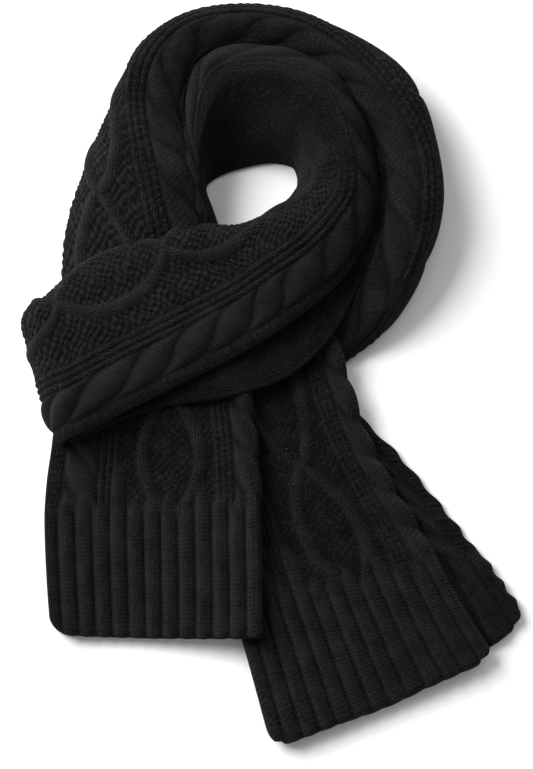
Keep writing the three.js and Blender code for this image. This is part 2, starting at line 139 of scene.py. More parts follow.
def normals_of(grid):
    """Unit normals of a grid of points."""
    n = np.cross(np.gradient(grid, axis=1), np.gradient(grid, axis=0))
    return n / (np.linalg.norm(n, axis=2, keepdims=True) + 1e-9)


def spread(points, count):
    """A line of points as that many points at even distances, and its length."""
    s = lengths(points)
    even = np.linspace(0, s[-1], count)
    return np.stack([np.interp(even, s, column) for column in points.T], 1), s[-1]


def drift(points):
    """Slow uneven swelling of hand-laid cloth, between -1 and 1."""
    x, y = points[..., 0], points[..., 1]
    return 0.5 * np.sin(x / 17 + 1.3 * np.sin(y / 23)) + 0.5 * np.sin(y / 19 + 1.7 * np.sin(x / 29) + 2)


class Cloth:
    """Collects grids of cloth, in the tables' millimetres, into one mesh."""

    def __init__(self):
        self.points, self.stitches, self.faces, self.count = [], [], [], 0

    def add(self, grid, u, v, moss, height):
        """Adds a grid of points with the knit's stitch coordinates and its share of painted light, and gives
        back its point numbers.
        """
        index = self.count + np.arange(grid[..., 0].size).reshape(grid.shape[:2])
        self.points.append(grid.reshape(-1, 3))
        self.stitches.append(np.stack([u, v, moss, height], -1).reshape(-1, 4))
        self.count += index.size
        return index

    def skin(self, index, out, wrap=False):
        """Faces over an index grid; out is above 0 where columns cross rows towards the outside."""
        if wrap:
            index = np.concatenate([index, index[:, :1]], 1)
        a, b, c, d = index[:-1, :-1], index[:-1, 1:], index[1:, 1:], index[1:, :-1]
        quads = np.stack([a, b, c, d] if out > 0 else [d, c, b, a], -1).reshape(-1, 4)
        self.faces.append(quads)

    def piece(self, name, closed=False):
        """The mesh object, with points that coincide merged; a closed one also gets its last slits shut."""
        points = (np.concatenate(self.points) + TABLE_SHIFT) / 1000
        points[:, 2] = np.maximum(points[:, 2], 0.0001)
        faces = np.concatenate(self.faces)
        mesh = bpy.data.meshes.new(name)
        mesh.vertices.add(len(points))
        mesh.vertices.foreach_set("co", points.astype(np.float32).ravel())
        mesh.loops.add(faces.size)
        mesh.loops.foreach_set("vertex_index", faces.astype(np.int32).ravel())
        mesh.polygons.add(len(faces))
        mesh.polygons.foreach_set("loop_start", np.arange(0, faces.size, 4, dtype=np.int32))
        stitches = np.concatenate(self.stitches)
        stitch = mesh.attributes.new("stitch", "FLOAT_VECTOR", "POINT")
        stitch.data.foreach_set("vector", stitches[:, :3].astype(np.float32).ravel())
        # each point's share of painted light: from the relief's height, less painted shade in particular
        # places
        painted_light = mesh.attributes.new("painted_light", "FLOAT", "POINT")
        painted_light.data.foreach_set("value", stitches[:, 3].astype(np.float32))
        mesh.update(calc_edges=True)
        piece = bpy.data.objects.new(name, mesh)
        bpy.context.scene.collection.objects.link(piece)
        bpy.ops.object.select_all(action="DESELECT")
        piece.select_set(True)
        bpy.context.view_layer.objects.active = piece
        bpy.ops.object.mode_set(mode="EDIT")
        bpy.ops.mesh.select_all(action="SELECT")
        bpy.ops.mesh.remove_doubles(threshold=LOOSE)
        bpy.ops.mesh.dissolve_degenerate(threshold=LOOSE / 2)
        if closed:
            bpy.ops.mesh.fill_holes(sides=8)
        bpy.ops.object.mode_set(mode="OBJECT")
        bpy.ops.object.shade_smooth()
        return piece


def nodes_of(tree):
    """Two short ways to add a math node or any other node to a node tree."""

    def put(socket, value):
        if hasattr(value, "default_value") or hasattr(value, "is_linked"):
            tree.links.new(value, socket)
        else:
            socket.default_value = value

    def calc(operation, *values, clamp=False):
        node = tree.nodes.new("ShaderNodeMath")
        node.operation, node.use_clamp = operation, clamp
        for socket, value in zip(node.inputs, values):
            put(socket, value)
        return node.outputs[0]

    def node(kind, values=(), **settings):
        made = tree.nodes.new(kind)
        for key, value in settings.items():
            setattr(made, key, value)
        for key, value in dict(values).items():
            put(made.inputs[key], value)
        return made

    return calc, node


def group(name, inputs, outputs):
    """A node group of its own, with its input and output node."""
    tree = bpy.data.node_groups.new(name, "ShaderNodeTree")
    for label, kind in inputs:
        tree.interface.new_socket(name=label, in_out="INPUT", socket_type=kind)
    for label in outputs:
        tree.interface.new_socket(name=label, in_out="OUTPUT", socket_type="NodeSocketFloat")
    return tree, tree.nodes.new("NodeGroupInput"), tree.nodes.new("NodeGroupOutput")


# Knit loops: two slanting legs to a stitch, in columns; seeds in a chequer where it is moss stitch.
loops, given, result = group("knit loops", [("Stitch", "NodeSocketVector")], ["Height"])
calc, node = nodes_of(loops)
uv = node("ShaderNodeSeparateXYZ", {"Vector": given.outputs["Stitch"]})
across = calc("ABSOLUTE", calc("SUBTRACT", calc("FRACT", uv.outputs["X"]), 0.5))
off_leg = calc("MULTIPLY", calc("ABSOLUTE", calc("SUBTRACT", across, 0.25)), 4.0)
leg = calc("SUBTRACT", 1.0, calc("POWER", off_leg, 2.0))
slant = calc("SUBTRACT", uv.outputs["Y"], calc("MULTIPLY", across, 1.5))
wave = calc("ADD", 0.5, calc("MULTIPLY", calc("COSINE", calc("MULTIPLY", slant, 2 * math.pi)), 0.5))
plain = calc("MULTIPLY", leg, calc("ADD", 0.3, calc("MULTIPLY", wave, 0.7)))
cu = calc("COSINE", calc("MULTIPLY", uv.outputs["X"], math.pi))
cv = calc("COSINE", calc("MULTIPLY", uv.outputs["Y"], math.pi))
seed = calc("ADD", 0.5, calc("MULTIPLY", calc("MULTIPLY", cu, cv), 0.5))
moss_part = calc("MULTIPLY", calc("SUBTRACT", seed, plain), uv.outputs["Z"])
loops.links.new(calc("ADD", plain, moss_part), result.inputs["Height"])

# Wool fibres: loose hair over the yarn, uneven dye, and a few pale hairs and lint.
fibres, given, result = group("wool fibres", [("Place", "NodeSocketVector")], ["Height", "Tone", "Lint"])
calc, node = nodes_of(fibres)
where = {"Vector": given.outputs["Place"]}
hair = node(
    "ShaderNodeTexNoise", {**where, "Scale": 850.0, "Detail": 4.0, "Roughness": 0.7, "Distortion": 1.6}
)
cloudy = node("ShaderNodeTexNoise", {**where, "Scale": 70.0, "Detail": 3.0, "Roughness": 0.6})
fleck = node("ShaderNodeTexNoise", {**where, "Scale": 900.0, "Detail": 2.0, "Roughness": 0.7})
lint = calc("MULTIPLY", calc("SUBTRACT", fleck.outputs["Fac"], 0.62), 9.0, clamp=True)
tone = calc("ADD", calc("MULTIPLY", hair.outputs["Fac"], 0.6), calc("MULTIPLY", cloudy.outputs["Fac"], 0.4))
fibres.links.new(hair.outputs["Fac"], result.inputs["Height"])
fibres.links.new(tone, result.inputs["Tone"])
fibres.links.new(lint, result.inputs["Lint"])


def wool(name, dark, light):
    """Black wool: near-black in the gaps between the stitches and greyer on the crests, which is painted
    shade and painted highlight; soft all over.
    """
    material = bpy.data.materials.new(name)
    material.use_nodes = True
    tree = material.node_tree
    calc, node = nodes_of(tree)
    shader = tree.nodes["Principled BSDF"]
    stitch = node("ShaderNodeAttribute", attribute_name="stitch")
    painted_light = node("ShaderNodeAttribute", attribute_name="painted_light")
    place = node("ShaderNodeTexCoord").outputs["Object"]
    knitted = node("ShaderNodeGroup", node_tree=loops)
    tree.links.new(stitch.outputs["Vector"], knitted.inputs["Stitch"])
    fuzz = node("ShaderNodeGroup", node_tree=fibres)
    tree.links.new(place, fuzz.inputs["Place"])
    # painted shade and painted highlight: the colour darkens between the loop legs and where the relief is
    # low, and lightens on the loops and crests, as light and shade would fall on the knit
    loop_crest = calc("ADD", calc("MULTIPLY", knitted.outputs["Height"], 0.9), 0.15)
    relief = calc("ADD", calc("MULTIPLY", painted_light.outputs["Fac"], 0.8), 0.15)
    crest = calc("MULTIPLY", loop_crest, relief)
    uneven = calc("SUBTRACT", calc("MULTIPLY", fuzz.outputs["Tone"], 3.4), 1.76)
    shade = calc("ADD", crest, uneven, clamp=True)
    colour = node("ShaderNodeMix", {"Factor": shade}, data_type="RGBA")
    colour.inputs["A"].default_value = (*dark, 1)
    colour.inputs["B"].default_value = (*light, 1)
    lint_share = calc("MULTIPLY", fuzz.outputs["Lint"], 0.5)
    linty = node("ShaderNodeMix", {"Factor": lint_share}, data_type="RGBA")
    tree.links.new(colour.outputs["Result"], linty.inputs["A"])
    linty.inputs["B"].default_value = (0.075, 0.072, 0.078, 1)
    tree.links.new(linty.outputs["Result"], shader.inputs["Base Color"])
    loop_height = calc("MULTIPLY", knitted.outputs["Height"], 0.75)
    height = calc("ADD", loop_height, calc("MULTIPLY", fuzz.outputs["Height"], 0.7))
    bump = node("ShaderNodeBump", {"Height": height, "Strength": 1.0, "Distance": 0.0012})
    tree.links.new(bump.outputs["Normal"], shader.inputs["Normal"])
    shader.inputs["Roughness"].default_value = 0.92
    shader.inputs["Specular IOR Level"].default_value = 0.08
    shader.inputs["Sheen Weight"].default_value = 0.04
    shader.inputs["Sheen Roughness"].default_value = 0.5
    shader.inputs["Sheen Tint"].default_value = (0.8, 0.77, 0.84, 1)
    return material


black_wool = wool("black_wool", (0.0006, 0.00055, 0.00065), (0.0146, 0.0135, 0.0153))


def bowed(rows, t):
    """Points across each row, at the shares t of its width, on the curve through its three points."""
    l, m, r = (rows[:, None, k : k + 3] for k in (0, 3, 6))
    T = t[..., None]
    return l * (2 * T * T - 3 * T + 1) + m * (4 * T - 4 * T * T) + r * (2 * T * T - T)


def ahead_of(rows, grid):
    """The way along the middle of the cloth, as a unit vector for each point of a grid."""
    ahead = np.gradient(rows[:, 3:6], axis=0)[:, None] + 0 * grid
    return ahead / np.linalg.norm(ahead, axis=2, keepdims=True)


def corner_inset(left):
    """How far a side draws in for the rounded corner of the hem, left before the end."""
    drop = HEM_CORNER - np.sqrt(np.maximum(0, HEM_CORNER**2 - (HEM_CORNER - left) ** 2))
    return np.where(left < HEM_CORNER, drop, 0) * 0.9


def hem_wave(w, s, length):
    """How far each end rib stands out past the hem's line."""
    return np.abs(np.cos(np.pi * w / RIB_PITCH)) * ease(s, length - 5, length) * 0.6


def layer(name, table, fold_right, crossing, apart, scallop=0.0, painted_light_level=1.0):
    """One layer of cloth on its own, closed all round: top, rounded edges, underside and both ends.
    scallop is how far its edge waves in, and the last argument how light its crests are painted: below 1 it
    is painted shade, for a layer lying in the shade of another."""
    rows, s = rows_along(table)
    length, width = s[-1], np.linalg.norm(rows[:, 0:3] - rows[:, 6:9], axis=1)
    inset = corner_inset(length - s)
    wavy = scallop * (1 + np.cos(2 * np.pi * s / 23))
    spare = (1 - (2 * inset + wavy) / width)[:, None]
    t = (inset / width)[:, None] + np.linspace(0, 1, COLUMNS) * spare
    top = bowed(rows, t)
    n = normals_of(top)
    n *= np.sign(n[..., 2].mean())
    aside = np.gradient(top, axis=1)
    aside /= np.linalg.norm(aside, axis=2, keepdims=True)
    ahead = ahead_of(rows, top)
    middle = top - n * LAYER / 2
    bend = np.radians([30, 60, 90, 120, 150])[:, None]

    def edge(k, way):
        out, up = aside[:, k, None] * way, n[:, k, None]
        return middle[:, k, None] + (up * np.cos(bend) + out * np.sin(bend)) * LAYER / 2

    def all_round(a):
        first, last = (np.repeat(column, len(bend), 1) for column in (a[:, :1], a[:, -1:]))
        return np.concatenate([a, last, a[:, ::-1], first], 1)

    bottom = middle - n * LAYER / 2
    ring = np.concatenate([top, edge(-1, 1), bottom[:, ::-1], edge(0, -1)[:, ::-1]], 1)
    core, along = all_round(middle), all_round(ahead)
    w_top = HALF_WIDTH * ((1 - t) if fold_right else t)
    beyond = LAYER / 2 * bend[:, 0] * (-1 if fold_right else 1)
    w_edges = w_top[:, -1:] + beyond, (w_top[:, :1] - beyond)[:, ::-1]
    w = np.concatenate([w_top, w_edges[0], w_top[:, ::-1], w_edges[1]], 1)
    S = np.repeat(s[:, None], ring.shape[1], 1)
    outward = ring - core
    outward /= np.linalg.norm(outward, axis=2, keepdims=True) + 1e-9
    turn = -1 if fold_right else 1
    h, u, v, moss = knit(w, S, turn, crossing, apart, hem=length - RIB_LENGTH, moss_height=0.5)
    upper = np.zeros(ring.shape[1])  # the share of the relief: whole on top, none underneath
    upper[:COLUMNS] = 1
    upper[COLUMNS : COLUMNS + 5], upper[-5:] = np.linspace(0.9, 0.1, 5), np.linspace(0.1, 0.9, 5)
    upper[:3], upper[COLUMNS - 3 : COLUMNS] = (0.8, 0.9, 1), (1, 0.95, 0.9)
    lift = h * upper + 0.7 * drift(ring) * (upper > 0.99)
    ring = ring + outward * lift[..., None]
    hem = hem_wave(w, S, length)[..., None]
    ring = ring + along * hem
    rounds = np.radians([90, 60, 30])
    tip = along[-1:] * hem[-1:]
    start = [
        core[:1] + (ring[:1] - core[:1]) * np.cos(a) - along[:1] * math.sin(a) * LAYER / 2 for a in rounds
    ]
    end = [
        core[-1:] + tip + (ring[-1:] - tip - core[-1:]) * np.cos(a) + along[-1:] * math.sin(a) * LAYER / 2
        for a in rounds[::-1]
    ]

    def with_ends(x):
        return np.concatenate([x[:1]] * 3 + [x] + [x[-1:]] * 3)

    # painted shade: the crests are painted darker on a layer that lies in the shade of another
    painted_light = np.clip(h / 2.4, 0, 1) * painted_light_level
    cloth = Cloth()
    index = cloth.add(np.concatenate([*start, ring, *end]), *(with_ends(x) for x in (u, v, moss, painted_light)))
    facing = np.cross(np.gradient(top, axis=1), np.gradient(top, axis=0))[..., 2].mean()
    cloth.skin(index, facing, wrap=True)
    made = cloth.piece(name, closed=True)
    made.data.materials.append(black_wool)
    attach(made, "root")
    return made, length / 1000


# the back layer's crests are painted darker, as painted shade below the front layer's edge
tail_back, tail_back_length = layer("right_tail_back_knit", RIGHT_BACK, False, 150, 80, scallop=1.0, painted_light_level=0.6)
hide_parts("right_tail_back")

# ---- Right tail, front layer ----
# The same end of the scarf, one layer on top of the other: its fold runs down the right side, with half
# of the centre cable along it, and its ribbed hem lies slanting at the lower right.
RIGHT_FRONT = (  # left x y z, middle x y z, right x y z, from the knot to the hem
    (-83.7, 17.6, 19.5, -20.5, 28.8, 19.5, 37.5, 45.6, 19.5),
    (-67, -23.5, 18.5, -8.3, -15.4, 19, 51.9, -1.6, 19),
    (-53.6, -48.8, 15.5, 2.3, -43.4, 16, 61, -32.9, 17.5),
    (-40.1, -82, 12.5, 19.5, -78.1, 13.5, 77.8, -69.2, 16),
    (-29.3, -121.8, 11.5, 35.2, -116.6, 12, 99.1, -104.4, 14.5),
    (-12, -174.2, 11.5, 53.5, -166, 11.5, 123.7, -151, 13),
    (6.5, -240, 11.5, 72.5, -215, 11.5, 143.8, -184.6, 12),
)
tail_front, tail_front_length = layer("right_tail_front_knit", RIGHT_FRONT, True, 190, 93)
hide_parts("right_tail_front")

# ---- Left tail ----
# The other end, both layers together with the fold on the right. Its two loose edges lie one on the
# other at the left, and its hem is the nearly level one.
LEFT = (  # left x y z, middle x y z, right x y z, from the knot to the hem
    (-137.9, 50.2, 23, -85, 50.1, 28, -36.5, 53.4, 31),
    (-138.2, 11.2, 23, -80.4, 12.2, 27, -23, 16.2, 30),
    (-138.9, -22.5, 20, -77.3, -22.3, 25, -15.6, -16.3, 28.5),
    (-140.7, -45.5, 16, -75.9, -45.7, 20, -11.6, -41.8, 27),
    (-143.8, -69.7, 12, -75.9, -70.1, 14, -9.5, -69.8, 26),
    (-144.5, -95.1, 11, -75.7, -95.9, 11.5, -8.2, -97.6, 25.5),
    (-142.2, -131.7, 11, -74.5, -133, 11, -7.5, -133.7, 25.5),
    (-138.6, -167.6, 11, -73.3, -169.5, 11, -7.4, -171.2, 25.5),
)
UP = np.array([0, 0, 1.0])


def rolled(cloth, border, points, normal, out, u, v):
    """The thickness of a free edge: round the border, then back under it for a short way."""
    bend = np.radians([35, 70, 110, 145])
    strips = [points + LAYER / 2 * (out * math.sin(a) - normal * (1 - math.cos(a))) for a in bend]
    strips += [points - normal * LAYER - out * d for d in (0.5, 7, 15, 22)]
    grid = np.stack(strips, 1)
    reach = np.array([1, 2, 3, 4, 5, 7, 9, 12])
    across_u = u[:, None] + reach * 0.35
    along_v = np.repeat(v[:, None], len(reach), 1)
    # painted shade: the colour darkens the further the cloth turns under its edge
    painted_light = np.repeat(np.array([[0.5, 0.4, 0.3, 0.2, 0.1, 0, 0, 0]]), len(grid), 0)
    index = cloth.add(grid, across_u, along_v, 0 * across_u, painted_light)
    index = np.concatenate([border[:, None], index], 1)
    first = np.cross(grid[:, 0] - points, np.gradient(points, axis=0))
    cloth.skin(index, (first * (normal + out)).sum())


def free_edges(a):
    """What a grid holds along its loose edge, its hem and its lower loose edge, in one line."""
    return np.concatenate([a[:, 0], a[-1, 1:-1], a[::-1, -1]])


rows, s = rows_along(LEFT)
length, width = s[-1], np.linalg.norm(rows[:, 0:3] - rows[:, 6:9], axis=1)
inset = corner_inset(length - s)
t = (inset / width)[:, None] + np.linspace(0, 1, COLUMNS) * (1 - inset / width)[:, None]
top = bowed(rows, t)
side = top[:, -1] - top[:, 0]
side[:, 2] = 0
side /= np.linalg.norm(side, axis=1, keepdims=True)
floor_z = np.maximum(0.1, top[..., 2] - 2 * LAYER)
radius = (top[:, -1, 2] - floor_z[:, -1]) / 2
bend = np.radians(np.linspace(15, 165, 11))
sunk = UP * (radius[:, None] * (np.cos(bend) - 1))[..., None]
fold = top[:, -1, None] + sunk + side[:, None] * (0.8 * radius[:, None] * np.sin(bend))[..., None]
under = top[:, ::-4].copy()
under[..., 2] = floor_z[:, ::-4]
face = np.concatenate([top, fold, under], 1)
w = np.concatenate([HALF_WIDTH * (1 - t), -radius[:, None] * bend, -HALF_WIDTH * (1 - t[:, ::-4])], 1)
S = np.repeat(s[:, None], face.shape[1], 1)
n = normals_of(face)
turned = np.sign(n[:, :100, 2].mean())
n *= turned
h, u, v, moss = knit(w, S, -1, 145, 80, 10, length - RIB_LENGTH, 0.6)
upper = np.zeros(face.shape[1])  # the share of the relief: whole on top, less round the fold
upper[:COLUMNS] = 1
upper[COLUMNS : COLUMNS + len(bend)] = np.linspace(1, 0, len(bend))
face = face + n * (h * upper + 0.7 * drift(face) * (upper > 0.99))[..., None]
ahead = ahead_of(rows, face)
face = face + ahead * hem_wave(w, S, length)[..., None]
cloth = Cloth()
index = cloth.add(face, u, v, moss, np.clip(h / 2.2, 0, 1))
cloth.skin(index, turned)
normal = free_edges(n)
ways = np.concatenate([-side + 0 * face[:, 0], ahead[-1, 1:-1], -side[::-1]])
for _ in range(3):
    ways = (ways + np.roll(ways, 1, 0) + np.roll(ways, -1, 0)) / 3
ways[0], ways[-1] = -side[0], -side[0]
ways -= normal * (ways * normal).sum(1, keepdims=True)
ways /= np.linalg.norm(ways, axis=1, keepdims=True) + 1e-9
rolled(cloth, free_edges(index), free_edges(face), normal, ways, free_edges(u), free_edges(v))
left_tail = cloth.piece("left_tail_knit")
left_tail.data.materials.append(black_wool)
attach(left_tail, "root")
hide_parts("left_tail")

# ---- Outer turn ----
# The stretch that runs round the outside of the neck loop: from under the tails up the right side, over
# the top and down the left side, under the band. Its fold lies against the inner turn, with the centre
# cable along it, and it curves down to the table outside.
OUTER = (  # end of the top x y z, crest x y z, wall x y z, distance of the end from the fold line
    (20.2, 62.9, 9, 35, 37.1, 10, 43, 7.2, 6, -46),
    (36.6, 76.3, 12, 67.6, 37.3, 24, 75.7, 30.7, 10, -46),
    (47.6, 94.7, 15, 88.7, 58.5, 35, 96.9, 58.6, 14, -46),
    (57.2, 110.2, 18, 102.7, 85.7, 42, 111.6, 91.5, 18, -42),
    (64.1, 126.6, 21, 108.3, 114.7, 46, 118.3, 123.3, 20, -37),
    (65.7, 150.6, 23, 105, 148.9, 46, 115, 160.5, 20, -32),
    (59, 176.2, 25, 95.4, 178.9, 47, 106.7, 196.4, 21, -27),
    (48, 199.3, 30, 78, 203.3, 48, 90.3, 220.2, 23, -20),
    (33, 220.5, 35, 50.3, 226.9, 48, 57, 243.9, 24, -11),
    (12, 232.6, 38, 18, 243.5, 48, 20.7, 261.9, 26, -7),
    (-15, 235.8, 40, -16.3, 248.2, 48, -17.9, 265.7, 26, -6),
    (-41.8, 229.2, 41, -51.2, 239.5, 48, -58.5, 257.4, 26, -8),
    (-57, 208.6, 42, -77.5, 222, 48, -87.7, 234.8, 24, -10),
    (-60, 183, 42, -93, 196, 49, -101.3, 202.8, 20, -12),
    (-55.3, 153.4, 42, -89.2, 150.3, 50, -119, 166.5, 16, -10),
    (-53.6, 125, 41, -82, 115, 49, -131.5, 133.5, 14, -6),
    (-50.1, 100.5, 38, -76.6, 91.4, 44, -136.9, 104.4, 14, -3),
    (-44.7, 79.2, 34, -74, 71.2, 37, -138.3, 77.1, 14, -2),
    (-37.9, 55.9, 32, -76.7, 56.3, 33, -139, 55, 14, -2),
)
FLAT = np.array([1.0, 1.0, 0.0])


def curve(a, b, c, count):
    """A row of points bending from a to c towards b, for every section at once."""
    t = np.linspace(0, 1, count)[:, None]
    return a[:, None] * (1 - t) ** 2 + b[:, None] * 2 * t * (1 - t) + c[:, None] * t * t


def unit(vectors):
    return vectors / (np.linalg.norm(vectors, axis=-1, keepdims=True) + 1e-9)


def over_and_down(rows, steep=0.0):
    """Each section's line: from the end of the cloth on top over the crest and down the wall to its foot.
    steep, from 0 to 1, makes the wall drop straight from the crest."""
    e, c, w = rows[:, 0:3], rows[:, 3:6], rows[:, 6:9]
    outward = (w - c) * FLAT
    hang = c + (0.85 - 0.35 * steep) * outward - np.array([0, 0, 0.28]) * steep * c[:, 2:3]
    foot = w * FLAT - unit(outward) * np.minimum(0.8 * w[:, 2:3], 16)
    on_top = curve(e, c + 0.55 * (e - c) * FLAT, c, 24)
    return np.concatenate([on_top, curve(c, hang, w, 24)[:, 1:], curve(w, w * FLAT, foot, 12)[:, 1:]], 1)


rows, s = rows_along(OUTER)
e, c = rows[:, 0:3], rows[:, 3:6]
fold_way = unit((e - c) * FLAT)
depth = np.minimum(2 * LAYER, 0.8 * e[:, 2])
line = over_and_down(rows)
bend = np.radians(np.linspace(165, 15, 8))
sunk = (depth[:, None] / 2 * (np.cos(bend) - 1))[..., None] * UP
fold = e[:, None] + sunk + fold_way[:, None] * (0.8 * depth[:, None] / 2 * np.sin(bend))[..., None]
n = normals_of(line)
below = line - n * (np.sign(n[:, :20, 2].mean()) * depth)[:, None, None]
inner = below[:, 50:3:-3]  # the layer underneath, from the wall back to the fold
line = np.concatenate([inner, fold, line], 1)
count = 200
before = np.array([lengths(q[: inner.shape[1] + len(bend) + 1])[-1] for q in line])
grid, total = zip(*(spread(q, count) for q in line))
grid, total = np.array(grid), np.array(total)
run = np.linspace(0, 1, count) * total[:, None] - before[:, None]
w = rows[:, 9:10] + run
S = np.repeat(s[:, None], count, 1)
n = normals_of(grid)
turned = np.sign(n[:, 120:150, 2].mean())
n *= turned
h, u, v, moss = knit(w, 0.757 * S, -turned, 392, 80, 14.4)  # the outside of the bend is stretched along
above = ease(grid[..., 2], 0.2, 4) * ease(run, -14, -6)
# flatter cables at the top of the loop and where it comes out from under the tails
h *= 1 - 0.45 * ease(S, 225, 285) * (1 - ease(S, 370, 410)) - 0.3 * (1 - ease(S, 50, 110))
grid = grid + n * (h * above + 1.0 * drift(grid) * above)[..., None]
share = np.linspace(0, 1, 16)[1:, None]
across_table = grid[:, :1] * FLAT + 6 * fold_way[:, None] + (0, 0, 0.1)
floor = grid[:, -1:] * (1 - share) + across_table * share
cloth = Cloth()
# painted shade: the crests are painted darker up the right side and over the top of the loop, where the band
# and the inner turn shade the cloth, and the cloth is painted darker still towards its fold, as shade in the
# groove against the inner turn
painted_outer_shade = (0.2 * ease(S, 20, 80) + 0.2 * ease(S, 200, 260)) * (1 - ease(S, 420, 480))
index = cloth.add(grid, u, v, moss, np.clip(h / 2.2, 0, 1) * ease(run, -9, 3) * (1 - painted_outer_shade))
flat_u = u[:, -1:] + 1.6 * np.arange(1, 16)
flat_v = np.repeat(v[:, -1:], 15, 1)
flat_index = cloth.add(floor, flat_u, flat_v, 0 * flat_u, 0 * flat_u)
cloth.skin(np.concatenate([index, flat_index], 1), turned)
outer_turn = cloth.piece("outer_turn_knit")
outer_turn.data.materials.append(black_wool)
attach(outer_turn, "root")
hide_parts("outer_turn")

# ---- Inner turn ----
# The stretch that holds it all: the fold of the loop at the lower left, the band across the front, and
# round the inside of the neck opening. Its loose edges lie outward, the back layer showing past the
# front one as a shaded strip below the band.
INNER = (  # edge of the front layer x y z, crest x y z, wall x y z, edge of the back layer x y z
    (-122, -40.2, 38, -141.8, 31.9, 43, -151.4, 52.7, 24, -122.1, -40.6, 31),
    (-76.3, -17.8, 43, -112.3, 54.4, 46, -123.4, 76.1, 26, -72.9, -21.5, 33),
    (-40.3, 0.6, 45, -77.3, 70.5, 48, -85.7, 91.8, 28, -29.3, -15.4, 36),
    (-3, 20.8, 46, -44.1, 79.6, 50, -51.9, 103.2, 28, 11.6, -1.1, 33),
    (23.5, 39.8, 44, -10.9, 78.6, 53, -18, 104.6, 26, 39, 24.5, 30),
    (49, 62.2, 41, 19.5, 85.6, 57, 9.3, 121.1, 16, 58.2, 58.2, 29),
    (66.8, 90.6, 38, 38.7, 100.6, 60, 19.1, 134.9, 8, 69.2, 90.8, 31),
    (75.5, 120.1, 35, 48.7, 117.7, 61, 21.3, 143, 4, 77.3, 121.5, 29),
    (75.2, 148.5, 36, 51.6, 142.4, 61, 20.6, 150.8, 3, 77, 150.8, 30),
    (64.7, 185.6, 36, 43.9, 170.9, 61, 16.4, 156.7, 3, 66.4, 188.8, 32),
    (43.7, 217.6, 33, 24.6, 190.8, 60, 2.4, 159, 3, 45.3, 221.7, 33),
    (1, 235.5, 32, -3, 200.4, 58, -15, 155.2, 3, 1, 239.7, 33),
    (-43.8, 231.4, 31, -30.1, 193.4, 54, -31.1, 149.3, 3, -44.8, 235.7, 32),
    (-61.5, 195.2, 29, -42.3, 166.9, 48, -40.1, 143.4, 3, -63.2, 198.5, 30),
    (-64.4, 150.7, 28, -45.6, 137.2, 43, -41.5, 137.5, 3, -66.1, 153, 28),
    (-62.8, 117.9, 31, -44.2, 113.6, 37, -37.2, 125.3, 4, -64.5, 120.1, 25),
    (-60, 95.7, 27, -40.9, 94.3, 31, -30.8, 106.3, 4, -61.7, 97.7, 21),
)
# The fold of the loop at the lower left: the cloth turns round a level line at this height.
NOSE_HEIGHT = 21.5
NOSE_RADIUS = 21.5  # of the turn at the crest, for distances along the cloth
NOSE_STEPS = 56
NOSE_TAIL = (18, 12, 8, 5, 2.5)  # how far its last rows underneath lie from the turn


